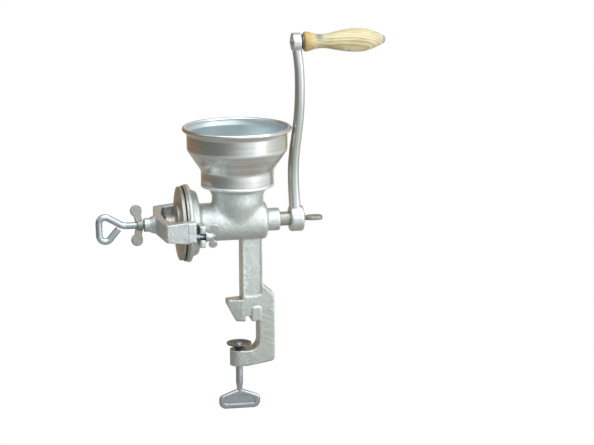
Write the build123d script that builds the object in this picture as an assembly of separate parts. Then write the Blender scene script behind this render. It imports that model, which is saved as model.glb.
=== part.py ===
from build123d import *
from math import atan2, cos, degrees, pi, radians, sin
import os

# A hand cranked mill that clamps to a table edge. Sizes are in millimetres.
# The origin lies on the upper jaw's underside, on the clamp screw's axis.
# +X runs along the shaft towards the crank, +Z is up, and Y = 0 is the
# casting's parting plane. Pieces on the shaft are drawn on the X axis and
# lifted to the shaft's height when they are written.

# ---- fits -------------------------------------------------------------------
running_gap = 0.05        # radial, round parts that turn or slide
grip_gap = 0.08           # radial, wooden grip on its pin
loose_gap = 0.32          # radial, washers on their studs
face_gap = 0.30           # between faces that turn past each other

# ---- main stations along the shaft, measured from the hopper's axis ----------
shaft_height = 118.5      # jaw underside to shaft axis
barrel_right = 33.4       # closed end of the barrel
bearing_right = 48.5      # end of the bearing boss
rim_left = -62.2          # flange rim, plate side
rim_thickness = 4.9
ear_left = -66.9          # seat of the bridge on the casting's ears

# ---- casting ------------------------------------------------------------------
barrel_radius = 22.3
barrel_bore_radius = 17.5
barrel_end_round = 5.0
bearing_radius = 13.3
rim_radius = 45.3
tier_radius = 40.5        # the flange's conical back
tier_end_radius = 36.5
tier_length = 8.3
tier_drop = 3.5
plate_recess = 2.1

throat_ring_radius = 42.6
throat_ring_bottom = 42.0   # heights above the shaft axis
throat_top = 45.8
neck_radius = 30.0
neck_top = 31.0
neck_bottom = 23.0
neck_foot_radius = 20.5     # the neck's cone where it runs out in the barrel
neck_foot = -4.0
throat_wall = 4.2
throat_rebate = 4.0         # depth of the hopper's seat in the throat

frame_depth = 22.0          # the clamp frame's thickness across Y
post_left = 2.4
post_right = 27.0
panel_border = 3.4           # the left rib; the right one is half of it
panel_depth = 1.1
spine_left = 21.8
spine_right = 40.8
shoulder_top = 43.0         # heights above the jaw's underside
shoulder_bottom = 31.0
spine_bottom = -49.5
spine_corner = 6.0
jaw_top = 25.5
jaw_lip = 5.0
jaw_reach = -15.0           # tip of the jaw's nose
jaw_tip_width = 14.0
foot_left = -4.5
foot_right = 6.2
foot_height = 6.5           # the notch between the jaw's two feet
heel_left = 13.6
heel_top = 17.0
heel_proud = 1.3
throat_corner = 11.0        # round inside the clamp's C
screw_boss_radius = 11.0
screw_boss_top = -35.7
screw_boss_bottom = -54.7

ear_outer = 57.0            # half the width over the ears
ear_height = 24.0
stud_y = 51.5
stud_drop = 4.9             # the studs lie this far below the shaft
stud_radius = 3.0
fork_left = -53.0
fork_right = -46.3
fork_height = 25.4
fork_slot = 7.3
fork_slot_floor = 46.5

# ---- hopper -------------------------------------------------------------------
hopper_wall = 1.2
hopper_neck_radius = 42.3
hopper_neck_top = 61.0
hopper_body_radius = 58.3
hopper_body_bottom = 85.0
hopper_body_top = 103.0
hopper_rim_radius = 63.6
hopper_rim_height = 109.3   # centre of the rolled bead
hopper_bead_radius = 2.5
hopper_spigot_length = 3.6

# ---- grinding plates ------------------------------------------------------------
plate_gap = 1.2
fixed_plate_thickness = 4.5
turning_plate_thickness = 4.1
fixed_plate_radius = 44.2
turning_plate_radius = 43.0
tooth_count = 72
tooth_depth = 1.1
tooth_ring_inner = 31.0
breaker_count = 14
breaker_depth = 1.9
breaker_inner = 19.0
fixed_screw_circle = 25.5     # radius of the ring of plate screws
turning_screw_circle = 17.0
plate_screw_count = 3
plate_screw_radius = 2.0
plate_screw_head = 3.8
plate_screw_sink = 0.2        # head below the dished middle
plate_dish = 1.2

# ---- drive ------------------------------------------------------------------------
auger_radius = 16.8
auger_core_radius = 8.25
auger_pitch = 27.0
thrust_travel = 1.5         # how far the adjusting screw can shift the drive
flight_root = 6.0
flight_tip = 3.2
tenon_width = 11.0
tenon_length = 14.0
carrier_flange_radius = 24.0
carrier_flange = 3.6
carrier_hub_radius = 10.0
carrier_hub_length = 12.0
ball_radius = 4.0
ball_seat_depth = 2.6

crank_left = 61.0
crank_hub_length = 16.0
crank_hub_radius = 15.2
crank_throw = 207.4
crank_top_radius = 10.6
crank_top_width = 10.6
crank_top_x = 70.2
crank_square = 10.0
crank_screw_radius = 3.0
crank_screw_reach = 23.4
crank_blade_height = 15.0
crank_blade_thickness = 4.6

handle_pin_radius = 3.0
handle_collar = 1.5         # the pin's shoulder, then a washer, then the grip
handle_collar_radius = 5.2
handle_washer = 1.2
grip_length = 94.4

# ---- bridge and adjusting screw ------------------------------------------------
bridge_boss_left = -110.1
bridge_boss_radius = 8.0
bridge_web_left = -97.5
bridge_corner = -91.8
bridge_inner = 44.6
bridge_web_inner = -88.5
bridge_half_height = 12.7
bridge_end_half_height = 9.4
ball_recess_radius = 5.2     # lets the ball move into the bridge
ball_recess_depth = 5.0
rod_radius = 3.9
adjuster_pitch = 1.25
lock_nut_gap = 1.6
eye_turn_x = -134.0
eye_side_x = -161.9
eye_top_z = 16.2
eye_bottom_z = -29.2
eye_end = (-139.7, -3.2)
eye_bend = 7.0

# ---- wing nuts --------------------------------------------------------------------
washer_thickness = 1.6
washer_radius = 7.0
stud_past_nut = 3.0
stud_in_bridge = 16.0
small_wing = dict(hub=5.6, hub_length=7.0, reach=17.4, ear=5.1, lean=4.6, web=2.8)
large_wing = dict(hub=6.9, hub_length=6.4, reach=23.8, ear=6.9, lean=3.7, web=3.2)

# ---- clamp screw --------------------------------------------------------------------
pad_radius = 14.7
pad_rim_height = -27.6
pad_dish = 2.6
pad_thickness = 2.2
pad_neck_radius = 5.4
pad_neck_length = 4.6
clamp_rod_radius = 4.1
clamp_rod_foot_radius = 3.3
clamp_neck_radius = 2.6
clamp_rivet_radius = 4.2
key_width = 49.0
key_height = 23.0
key_bottom = -108.3
key_thickness = 6.0
key_border = 5.6
key_web = 2.6

# ---- values worked out from the ones above ---------------------------------------
barrel_bore_wall = barrel_right - 4.0
rim_right = rim_left + rim_thickness
recess_floor = rim_left + plate_recess
grinding_face = recess_floor - fixed_plate_thickness  # fixed plate's tooth tips
turning_face = grinding_face - plate_gap               # turning plate's tooth tips
turning_back = turning_face - turning_plate_thickness
carrier_back = turning_back - carrier_flange
hub_end = carrier_back - carrier_hub_length
ball_x = hub_end + ball_seat_depth - ball_radius
crank_right = crank_left + crank_hub_length
washer_start = crank_top_x + crank_top_width / 2 + handle_collar
grip_start = washer_start + handle_washer + face_gap
grip_finish = grip_start + grip_length
lock_nut_right = bridge_boss_left - lock_nut_gap
nut_base = fork_right + washer_thickness
stud_end = nut_base + small_wing["hub_length"] + stud_past_nut
half_depth = frame_depth / 2

shaft_lift = Pos(0, 0, shaft_height)


# ---- drawing helpers -----------------------------------------------------------------
def outline(points, rounds=()):
    """Closed flat outline; rounds lists the corner numbers to round and each radius."""
    sketch = Polygon(*points, align=None)
    for corner, radius in rounds:
        x, y = points[corner]
        vertex = sketch.vertices().sort_by_distance((x, y, 0))[0]
        sketch = fillet(vertex, radius)
    return sketch


def turned_on_x(points, rounds=()):
    """Solid turned about the X axis from points (x, radius)."""
    return revolve(Plane.XZ * outline(points, rounds), Axis.X)


def turned_on_z(points, rounds=()):
    """Solid turned about the Z axis from points (radius, z)."""
    return revolve(Plane.XZ * outline(points, rounds), Axis.Z)


def rod_on_x(left, right, radius):
    """Cylinder along X between two stations."""
    return Pos((left + right) / 2, 0, 0) * Rot(0, 90, 0) * Cylinder(radius, right - left)


def rod_on_z(bottom, top, radius):
    """Cylinder along Z between two heights."""
    return Pos(0, 0, (bottom + top) / 2) * Cylinder(radius, top - bottom)


def ball_on_x(x, radius):
    """Ball whose poles lie on the X axis."""
    return Pos(x, 0, 0) * Rot(0, 90, 0) * Sphere(radius)


def block(x0, x1, y0, y1, z0, z1):
    """Box between two corners."""
    return Pos((x0 + x1) / 2, (y0 + y1) / 2, (z0 + z1) / 2) * Box(x1 - x0, y1 - y0, z1 - z0)


def side_plate(sketch, depth):
    """Outline drawn in X and Z, made into a plate centred on Y = 0."""
    return extrude(Plane.XZ * sketch, depth / 2, both=True)


def top_plate(sketch, bottom, top):
    """Outline drawn in X and Y, made into a plate between two heights."""
    return Pos(0, 0, bottom) * extrude(sketch, top - bottom)


def soften(solid, radius, keep=lambda edge: True):
    """Round the edges of a plain solid that pass the test."""
    return fillet([edge for edge in solid.edges() if keep(edge)], radius)


# ---- hopper ---------------------------------------------------------------------------
def make_hopper():
    """Spun sheet hopper with a rolled rim and a spigot for the throat."""
    seat = throat_top
    spigot = hopper_neck_radius - throat_wall
    outside = [
        (spigot, seat - hopper_spigot_length),
        (spigot, seat),
        (hopper_neck_radius, seat),
        (hopper_neck_radius, hopper_neck_top),
        (hopper_body_radius, hopper_body_bottom),
        (hopper_body_radius, hopper_body_top),
        (hopper_rim_radius - hopper_bead_radius, hopper_rim_height),
    ]
    inside = [
        (hopper_rim_radius - hopper_bead_radius - hopper_wall, hopper_rim_height),
        (hopper_body_radius - hopper_wall, hopper_body_top + hopper_wall / 3),
        (hopper_body_radius - hopper_wall, hopper_body_bottom),
        (hopper_neck_radius - hopper_wall, hopper_neck_top),
        (hopper_neck_radius - hopper_wall, seat + hopper_wall),
        (spigot - hopper_wall, seat + hopper_wall),
        (spigot - hopper_wall, seat - hopper_spigot_length),
    ]
    rounds = [(3, 9.0), (4, 9.0), (5, 4.0), (8, 5.2), (9, 7.8), (10, 10.2)]
    shell = turned_on_z(outside + inside, rounds)
    bead_circle = Pos(hopper_rim_radius - hopper_bead_radius, hopper_rim_height) * Circle(hopper_bead_radius)
    bead = revolve(Plane.XZ * bead_circle, Axis.Z)
    return shell + bead


# ---- casting --------------------------------------------------------------------------
def make_barrel():
    """Barrel, flange and bearing boss, turned about the shaft."""
    tier_end = rim_right + tier_length
    points = [
        (rim_left, 0),
        (rim_left, rim_radius),
        (rim_right, rim_radius),
        (rim_right, tier_radius),
        (tier_end, tier_end_radius),
        (tier_end + tier_drop, barrel_radius),
        (barrel_right, barrel_radius),
        (barrel_right, bearing_radius),
        (bearing_right, bearing_radius),
        (bearing_right, 0),
    ]
    rounds = [(1, 1.2), (2, 1.6), (4, 2.0), (5, 3.0), (6, barrel_end_round), (7, 1.5), (8, 1.2)]
    return turned_on_x(points, rounds)


def make_throat():
    """Hopper throat: a ring on a flared neck that runs down into the barrel."""
    flare = throat_ring_bottom - neck_top
    shoulder = neck_radius + flare
    sketch = outline(
        [
            (0, neck_foot),
            (neck_foot_radius, neck_foot),
            (neck_radius, neck_bottom),
            (neck_radius, neck_top),
            (neck_radius + flare * 0.3, neck_top + flare * 0.7),
            (shoulder, throat_ring_bottom),
            (throat_ring_radius, throat_ring_bottom),
            (throat_ring_radius, throat_top),
            (0, throat_top),
        ],
        [(2, 12.0), (4, 9.0), (6, 0.8), (7, 1.6)],
    )
    return revolve(Plane.XZ * sketch, Axis.Z)


def make_ears():
    """Two ears that seat the bridge, and two forks behind them for the studs."""
    ears = []
    for side in (-1, 1):
        y_inner = side * (fixed_plate_radius - 8)
        y_outer = side * ear_outer
        ear = block(ear_left, rim_right, min(y_inner, y_outer), max(y_inner, y_outer),
                    -ear_height / 2, ear_height / 2)
        ear = soften(ear, 2.0, lambda edge: abs(edge.center().Y) > ear_outer - 1 and abs(edge.center().Z) > 1)
        fork = block(fork_left, fork_right, min(side * 24, y_outer), max(side * 24, y_outer),
                     -stud_drop - fork_height / 2, -stud_drop + fork_height / 2)
        fork = soften(fork, 1.8, lambda edge: abs(edge.center().Y) > ear_outer - 1)
        slot_inner = side * fork_slot_floor
        slot_outer = side * (ear_outer + 1)
        fork -= block(fork_left - 1, fork_right + 1, min(slot_inner, slot_outer), max(slot_inner, slot_outer),
                      -stud_drop - fork_slot / 2, -stud_drop + fork_slot / 2)
        bridge_bar = block(rim_right - 1, fork_left + 1, min(side * 24, side * 40), max(side * 24, side * 40),
                           -stud_drop - fork_height / 2, -stud_drop + fork_height / 2)
        ears += [ear, fork, bridge_bar]
    return ears


def make_clamp_frame():
    """Post, shoulder, spine and screw arm: the open C that grips the table."""
    sketch = outline(
        [
            (post_left, shaft_height - 8),
            (post_left, 0),
            (spine_left, 0),
            (spine_left, screw_boss_top),
            (0, screw_boss_top),
            (0, screw_boss_bottom),
            (screw_boss_radius * 0.8, screw_boss_bottom),
            (spine_right, spine_bottom),
            (spine_right, shoulder_bottom),
            (post_right, shoulder_top),
            (post_right, shaft_height - 8),
        ],
        [(3, throat_corner), (7, spine_corner), (8, 3.0), (9, 6.0)],
    )
    frame = side_plate(sketch, frame_depth)
    frame = soften(frame, 1.6, lambda edge: abs(edge.center().Y) > half_depth - 0.01)
    frame += rod_on_z(screw_boss_bottom, screw_boss_top, screw_boss_radius)
    panel = outline(
        [
            (post_left + panel_border, jaw_top + 4),
            (post_right - panel_border / 2, jaw_top + 4),
            (post_right - panel_border / 2, shaft_height),
            (post_left + panel_border, shaft_height),
        ],
        [(0, 2.0), (1, 5.0)],
    )
    for side in (-1, 1):
        frame -= Pos(0, side * half_depth, 0) * side_plate(panel, 2 * panel_depth)
    return frame


def make_jaw():
    """Upper jaw: a nose that narrows to its tip, over a foot and a heel."""
    side_view = outline(
        [
            (jaw_reach, jaw_top),
            (jaw_reach, jaw_top - jaw_lip),
            (foot_left, 0),
            (spine_left, 0),
            (spine_left, jaw_top),
        ],
        [(0, 1.5), (1, 2.5), (2, 1.2)],
    )
    half_tip = jaw_tip_width / 2
    top_view = outline(
        [
            (jaw_reach, -half_tip),
            (post_left, -half_depth),
            (spine_left + 1, -half_depth),
            (spine_left + 1, half_depth),
            (post_left, half_depth),
            (jaw_reach, half_tip),
        ],
        [(0, 3.0), (5, 3.0)],
    )
    nose = side_plate(side_view, 2 * frame_depth) & top_plate(top_view, -1, jaw_top + 1)
    heel_width = spine_left + 3 - heel_left
    heel_sketch = outline(
        [
            (heel_left, 0),
            (heel_left + heel_width, 0),
            (heel_left + heel_width, heel_top),
            (heel_left, heel_top),
        ],
        [(2, 3.0), (3, 5.0)],
    )
    heel = side_plate(heel_sketch, frame_depth + 2 * heel_proud)
    heel = soften(heel, 0.9, lambda edge: abs(edge.center().Y) > half_depth and edge.center().Z > 1)
    return nose, heel


def make_casting():
    """The mill's body: one iron casting with every bore that it needs."""
    body = make_barrel() + make_throat()
    seam = [edge for edge in body.edges()
            if abs(edge.center().X) < neck_radius and edge.center().Z < barrel_radius
            and abs(edge.center().Y) > 10 and edge.length > 40]
    body = fillet(seam, 2.5)
    body = body.moved(shaft_lift)
    for piece in make_ears():
        body += piece.moved(shaft_lift)
    nose, heel = make_jaw()
    body += make_clamp_frame()
    body += nose
    body += heel

    # room for the plates in front of the rim, and the fixed plate's recess
    cuts = [rod_on_x(ear_left - 1, rim_left, rim_radius + face_gap)]
    cuts.append(rod_on_x(rim_left - 1, recess_floor, fixed_plate_radius + running_gap))
    # barrel bore and shaft bearing
    cuts.append(rod_on_x(rim_left - 1, barrel_bore_wall, barrel_bore_radius))
    cuts.append(rod_on_x(barrel_bore_wall - 1, bearing_right + 1, auger_core_radius + running_gap))
    # the throat's funnel and the hopper's seat
    seat_radius = hopper_neck_radius - throat_wall + running_gap
    cuts.append(turned_on_z([
        (0, 0),
        (barrel_bore_radius - 2.5, 0),
        (barrel_bore_radius - 2.5, 10),
        (neck_radius - throat_wall - 1.5, neck_bottom),
        (neck_radius - throat_wall, neck_top),
        (seat_radius - 3.0, throat_top - throat_rebate),
        (seat_radius, throat_top - throat_rebate),
        (seat_radius, throat_top + 1),
        (0, throat_top + 1),
    ]))
    for side in (-1, 1):
        at_stud = Pos(0, side * stud_y, -stud_drop)
        cuts.append(at_stud * rod_on_x(ear_left - 1, rim_right + 1, stud_radius + loose_gap))
    for position in plate_screw_places(fixed_screw_circle):
        cuts.append(position * rod_on_x(recess_floor - 1, recess_floor + 6, plate_screw_radius))
    for cut in cuts:
        body -= cut.moved(shaft_lift)

    # the jaw's notch and the clamp screw's hole
    notch = outline(
        [(foot_right, -1), (heel_left, -1), (heel_left, foot_height), (foot_right, foot_height)],
        [(2, 3.2), (3, 2.2)],
    )
    body -= side_plate(notch, 2 * frame_depth)
    body -= rod_on_z(screw_boss_bottom - 1, screw_boss_top + 1, clamp_rod_radius + running_gap)
    return body


# ---- grinding plates --------------------------------------------------------------------
def plate_screw_places(circle):
    """Where a plate's countersunk screws stand round the X axis."""
    places = []
    for number in range(plate_screw_count):
        places.append(Rot(number * 360 / plate_screw_count, 0, 0) * Pos(0, 0, circle))
    return places


def radial_groove(inner, outer, depth, width, skew):
    """V groove along Z from one radius to another, opening towards -X at X = 0."""
    section = Polygon((-depth, 0), (depth, -width), (depth, width), align=None)
    groove = extrude(section, outer - inner)
    return Rot(skew, 0, 0) * Pos(0, 0, inner) * groove


def make_plate(thickness, outer_radius, inner_radius, screw_circle, phase):
    """Grinding plate lying on X from 0 to its thickness, its teeth towards +X."""
    disc = rod_on_x(0, thickness, outer_radius)
    disc = soften(disc, 0.8, lambda edge: edge.center().X < 0.1)
    disc -= rod_on_x(-1, thickness + 1, inner_radius)
    # the middle is dished so that whole grains can enter
    dish = turned_on_x([
        (thickness + 1, 0),
        (thickness + 1, tooth_ring_inner + 3),
        (thickness, tooth_ring_inner),
        (thickness - plate_dish, breaker_inner + 4),
        (thickness - plate_dish, 0),
    ])
    disc -= dish
    tooth_width = pi * outer_radius / tooth_count
    groove = radial_groove(tooth_ring_inner - 2, outer_radius + 2, tooth_depth, tooth_width, 0)
    breaker = radial_groove(breaker_inner, tooth_ring_inner + 1, breaker_depth, 2.6, 14)
    face = Pos(thickness, 0, 0)
    cutters = []
    for number in range(tooth_count):
        cutters.append(face * Rot((number + phase) * 360 / tooth_count, 0, 0) * groove)
    for number in range(breaker_count):
        cutters.append(face * Rot((number + phase) * 360 / breaker_count, 0, 0) * breaker)
    disc = disc - cutters
    for position in plate_screw_places(screw_circle):
        disc -= position * make_plate_screw(thickness, -1)
        disc -= position * rod_on_x(thickness - plate_dish - plate_screw_sink, thickness, plate_screw_head)
    return disc


def make_plate_screw(thickness, back):
    """Countersunk screw on X, its head sunk below the plate's dished face."""
    top = thickness - plate_dish - plate_screw_sink
    return turned_on_x([
        (back, 0),
        (back, plate_screw_radius),
        (top - 1.8, plate_screw_radius),
        (top, plate_screw_head),
        (top, 0),
    ])


# ---- drive ----------------------------------------------------------------------------
def make_auger():
    """Feed screw with its shaft, its square drive tenon and its square crank seat."""
    left = turning_face
    right = barrel_bore_wall - thrust_travel - face_gap
    core = rod_on_x(left, crank_left, auger_core_radius)
    sections = []
    steps_per_turn = 15
    x_start = grinding_face + flight_root / 2 + 0.5
    x_finish = right - flight_root / 2
    steps = int((x_finish - x_start) / auger_pitch * steps_per_turn)
    outer = auger_radius + 1.0
    inner = auger_core_radius - 1.0
    for step in range(steps + 1):
        turn = -360 * step / steps_per_turn
        x = x_start + auger_pitch * step / steps_per_turn
        blade = Polygon((-flight_root / 2, inner), (flight_root / 2, inner),
                        (flight_tip / 2, outer), (-flight_tip / 2, outer), align=None)
        sections.append(Rot(turn, 0, 0) * Pos(x, 0, 0) * (Plane.XZ * blade))
    flight = loft([section.face() for section in sections], ruled=True)
    flight = flight & rod_on_x(left, right, auger_radius)
    tenon = block(left - tenon_length, left, -tenon_width / 2, tenon_width / 2, -tenon_width / 2, tenon_width / 2)
    tenon = soften(tenon, 1.5, lambda edge: edge.length > tenon_width + 1)
    seat = block(crank_left, crank_right - 1.0, -crank_square / 2, crank_square / 2,
                 -crank_square / 2, crank_square / 2)
    shaft = core + flight + tenon + seat
    return shaft - rod_on_x(crank_right - 13, crank_right, crank_screw_radius)


def make_carrier():
    """Plate carrier: a flange and hub with the auger's socket and the ball's cup."""
    carrier = turned_on_x(
        [
            (turning_back, 0),
            (turning_back, carrier_flange_radius),
            (carrier_back, carrier_flange_radius),
            (carrier_back, carrier_hub_radius),
            (hub_end, carrier_hub_radius),
            (hub_end, 0),
        ],
        [(2, 1.5), (3, 3.0), (4, 1.2)],
    )
    socket = tenon_width / 2 + running_gap
    carrier -= block(turning_face - tenon_length, turning_back + 1, -socket, socket, -socket, socket)
    carrier -= ball_on_x(ball_x, ball_radius + running_gap)
    for position in plate_screw_places(turning_screw_circle):
        carrier -= position * rod_on_x(carrier_back - 1, turning_back + 1, plate_screw_radius)
    return carrier


def make_crank_arm():
    """Forged crank: round hub, S-shaped arm and a small head for the handle's pin."""
    hub = rod_on_x(crank_left, crank_right, crank_hub_radius)
    hub = soften(hub, 2.4)
    head = rod_on_x(crank_top_x - crank_top_width / 2, crank_top_x + crank_top_width / 2, crank_top_radius)
    head = Pos(0, 0, crank_throw) * soften(head, 1.6)
    # the arm's centre in X, its width in X and its depth in Y, by height over the shaft
    stations = [
        (4, 68.9, 12.4, 20.0),
        (22, 67.2, 12.2, 16.6),
        (44, 66.2, 12.0, 15.2),
        (68, 66.6, 11.8, 14.6),
        (90, 69.0, 11.4, 14.2),
        (112, 72.0, 11.0, 13.8),
        (136, 73.9, 10.8, 13.4),
        (162, 74.2, 10.6, 13.0),
        (184, 73.0, 10.4, 12.6),
        (206, 70.2, 9.6, 12.2),
    ]
    sections = []
    for number, (height, centre, width, depth) in enumerate(stations):
        below = stations[max(number - 1, 0)]
        above = stations[min(number + 1, len(stations) - 1)]
        lean = degrees(atan2(above[1] - below[1], above[0] - below[0]))
        section = RectangleRounded(width, depth, width * 0.40)
        sections.append(Pos(centre, 0, height) * Rot(0, lean, 0) * section)
    arm = loft([section.face() for section in sections])
    crank = hub + arm + head
    seat = crank_square / 2 + running_gap
    crank -= block(crank_left - 1, crank_right - 1.0, -seat, seat, -seat, seat)
    crank -= rod_on_x(crank_right - 5, crank_right + 1, crank_screw_radius + running_gap)
    crank -= Pos(0, 0, crank_throw) * rod_on_x(crank_top_x - 10, crank_top_x + 10, handle_pin_radius)
    return crank


def make_crank_screw():
    """Spade-headed screw that holds the crank on the shaft."""
    start = crank_right - 11
    stem = rod_on_x(start, crank_right + 6, crank_screw_radius)
    collar = rod_on_x(crank_right, crank_right + 2.2, crank_screw_radius + 2.2)
    blade_sketch = outline(
        [
            (crank_right + 2, -crank_screw_radius),
            (crank_right + 8, -crank_blade_height / 2),
            (crank_right + crank_screw_reach, -crank_blade_height / 2),
            (crank_right + crank_screw_reach, crank_blade_height / 2),
            (crank_right + 8, crank_blade_height / 2),
            (crank_right + 2, crank_screw_radius),
        ],
        [(1, 5.0), (2, 7.0), (3, 7.0), (4, 5.0)],
    )
    blade = extrude(blade_sketch, crank_blade_thickness / 2, both=True)
    blade = soften(blade, 1.2, lambda edge: abs(edge.center().Z) > crank_blade_thickness / 2 - 0.01)
    return stem + collar + blade


def make_handle_pin():
    """Shouldered pin riveted in the crank's head, with a domed end past the grip."""
    left = crank_top_x - crank_top_width / 2
    right = crank_top_x + crank_top_width / 2
    tip = grip_finish + face_gap
    return turned_on_x(
        [
            (left - 1.6, 0),
            (left - 1.6, handle_pin_radius + 0.4),
            (left, handle_pin_radius + 2.0),
            (left, handle_pin_radius),
            (right, handle_pin_radius),
            (right, handle_collar_radius),
            (washer_start, handle_collar_radius),
            (washer_start, handle_pin_radius),
            (tip, handle_pin_radius),
            (tip, handle_pin_radius + 1.6),
            (tip + 1.8, handle_pin_radius + 0.2),
            (tip + 1.8, 0),
        ],
        [(1, 0.8), (10, 1.2)],
    )


def make_grip():
    """Turned wooden grip, bored for its pin."""
    x = grip_start
    top_line = [
        (x, 10.6),
        (x + 2.2, 11.6),
        (x + 6.0, 11.2),
        (x + 10, 10.0),
        (x + 15, 8.8),
        (x + 20, 8.3),
        (x + 27, 8.6),
        (x + 38, 10.7),
        (x + 50, 12.9),
        (x + 62, 13.7),
        (x + 73, 13.0),
        (x + 82, 10.4),
        (x + 90, 7.0),
        (x + grip_length, 4.8),
    ]
    shaped = Spline(*[(px, 0, radius) for px, radius in top_line])
    closing = Polyline((x + grip_length, 0, top_line[-1][1]), (x + grip_length, 0, 0), (x, 0, 0),
                       (x, 0, top_line[0][1]))
    grip = revolve(make_face([shaped] + closing.edges()), Axis.X)
    return grip - rod_on_x(x - 1, x + grip_length + 1, handle_pin_radius + grip_gap)


# ---- bridge, studs and nuts -----------------------------------------------------------
def make_bridge():
    """Bridge over the plates: a U in plan, deeper towards the ears, with a screw boss."""
    outer_points = [
        (ear_left, ear_outer),
        (bridge_corner, ear_outer),
        (bridge_web_left, bridge_end_half_height + 3),
    ]
    inner_points = [
        (bridge_web_inner, bridge_end_half_height + 4),
        (bridge_corner + 9.0, bridge_inner),
        (ear_left, bridge_inner),
    ]
    plan_points = outer_points + [(x, -y) for x, y in reversed(outer_points)]
    plan_points += [(x, -y) for x, y in reversed(inner_points)] + inner_points
    plan = outline(plan_points, [(1, 3.0), (4, 3.0), (7, 5.0), (10, 5.0)])
    side = outline([
        (ear_left, -bridge_half_height),
        (ear_left, bridge_half_height),
        (bridge_web_left - 1, bridge_end_half_height),
        (bridge_web_left - 1, -bridge_end_half_height),
    ])
    bridge = top_plate(plan, -20, 20) & side_plate(side, 4 * ear_outer)
    bridge = soften(bridge, 1.2, lambda edge: abs(edge.center().Z) > bridge_end_half_height - 0.5
                    and edge.center().X < ear_left - 0.5)
    boss = turned_on_x(
        [
            (bridge_boss_left, 0),
            (bridge_boss_left, bridge_boss_radius),
            (bridge_boss_left + 6, bridge_boss_radius),
            (bridge_web_left + 1.5, bridge_end_half_height + 3),
            (bridge_web_inner, bridge_end_half_height + 3),
            (bridge_web_inner, 0),
        ],
        [(1, 0.9), (2, 5.0)],
    )
    bridge = bridge + (boss & block(bridge_boss_left - 1, bridge_web_inner + 1, -15, 15,
                                    -bridge_end_half_height, bridge_end_half_height))
    bridge -= rod_on_x(bridge_boss_left - 1, bridge_web_inner + 2, rod_radius + running_gap)
    bridge -= rod_on_x(bridge_web_inner - ball_recess_depth, bridge_web_inner + 2, ball_recess_radius)
    for side_sign in (-1, 1):
        at_stud = Pos(0, side_sign * stud_y, -stud_drop)
        bridge -= at_stud * rod_on_x(ear_left - stud_in_bridge, ear_left + 1, stud_radius)
    return bridge


def make_stud(side_sign):
    """Stud screwed into the bridge, through the ear and the fork to its wing nut."""
    stud = turned_on_x(
        [
            (ear_left - stud_in_bridge, 0),
            (ear_left - stud_in_bridge, stud_radius),
            (stud_end, stud_radius),
            (stud_end, 0),
        ],
        [(1, 0.5), (2, 0.9)],
    )
    return Pos(0, side_sign * stud_y, -stud_drop) * stud


def make_washer(side_sign):
    """Plain washer under a wing nut."""
    ring = rod_on_x(fork_right, nut_base, washer_radius)
    ring = soften(ring, 0.3)
    ring -= rod_on_x(fork_right - 1, nut_base + 1, stud_radius + loose_gap)
    return Pos(0, side_sign * stud_y, -stud_drop) * ring


def make_wing_nut(shape, bore_radius):
    """Wing nut on the X axis, its base at X = 0 and its wings leaning towards +X."""
    hub = turned_on_x(
        [(0, 0), (0, shape["hub"]), (shape["hub_length"], shape["hub"] * 0.82), (shape["hub_length"], 0)],
        [(1, 0.5), (2, 0.9)],
    )
    ear_z = shape["reach"] - shape["ear"]
    ear_x = shape["hub_length"] / 2 + shape["lean"]
    neck = shape["ear"] * 0.62
    slope = atan2(ear_z, shape["lean"])
    across = (sin(slope) * neck, -cos(slope) * neck)
    web_sketch = Polygon(
        (shape["hub_length"] / 2 - across[0], -across[1]),
        (shape["hub_length"] / 2 + across[0], across[1]),
        (ear_x + across[0], ear_z + across[1]),
        (ear_x - across[0], ear_z - across[1]),
        align=None,
    )
    wing_sketch = web_sketch + Pos(ear_x, ear_z) * Circle(shape["ear"])
    wing = side_plate(wing_sketch, shape["web"])
    wing = soften(wing, shape["web"] * 0.32, lambda edge: abs(edge.center().Y) > shape["web"] / 2 - 0.01)
    wing &= block(0.4, 60, -20, 20, 0, 60)
    nut = hub + wing + Rot(180, 0, 0) * wing
    return nut - rod_on_x(-1, shape["hub_length"] + 20, bore_radius)


# ---- adjusting screw ------------------------------------------------------------------
def make_adjusting_screw():
    """Round bar with a cupped tip, its other end bent into an eye."""
    tip = ball_x - 1.4
    corners = [
        (tip, 0, 0),
        (eye_turn_x, 0, 0),
        (eye_side_x - 0.6, 0, eye_top_z),
        (eye_side_x + 0.4, 0, eye_bottom_z),
        (eye_end[0], 0, eye_end[1]),
    ]
    route = FilletPolyline(*corners, radius=[11.0, eye_bend, eye_bend])
    start = Plane(origin=corners[0], z_dir=(-1, 0, 0))
    bar = sweep(start * Circle(rod_radius), path=route)
    return bar - ball_on_x(ball_x, ball_radius + running_gap)


# ---- clamp screw and pad ----------------------------------------------------------------
def make_pad():
    """Dished clamp pad with a neck that turns on the screw's end."""
    rim = pad_rim_height
    floor = rim - pad_dish
    sketch = outline(
        [
            (clamp_neck_radius + running_gap, floor),
            (clamp_rivet_radius + 2.5, floor),
            (pad_radius - 0.8, rim),
            (pad_radius, rim - 0.4),
            (pad_radius - 0.2, rim - pad_thickness),
            (pad_neck_radius + 1.5, floor - pad_thickness),
            (pad_neck_radius, floor - pad_neck_length),
            (clamp_neck_radius + running_gap, floor - pad_neck_length),
        ],
        [(2, 0.5), (4, 0.6), (5, 1.2)],
    )
    return revolve(Plane.XZ * sketch, Axis.Z)


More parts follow.
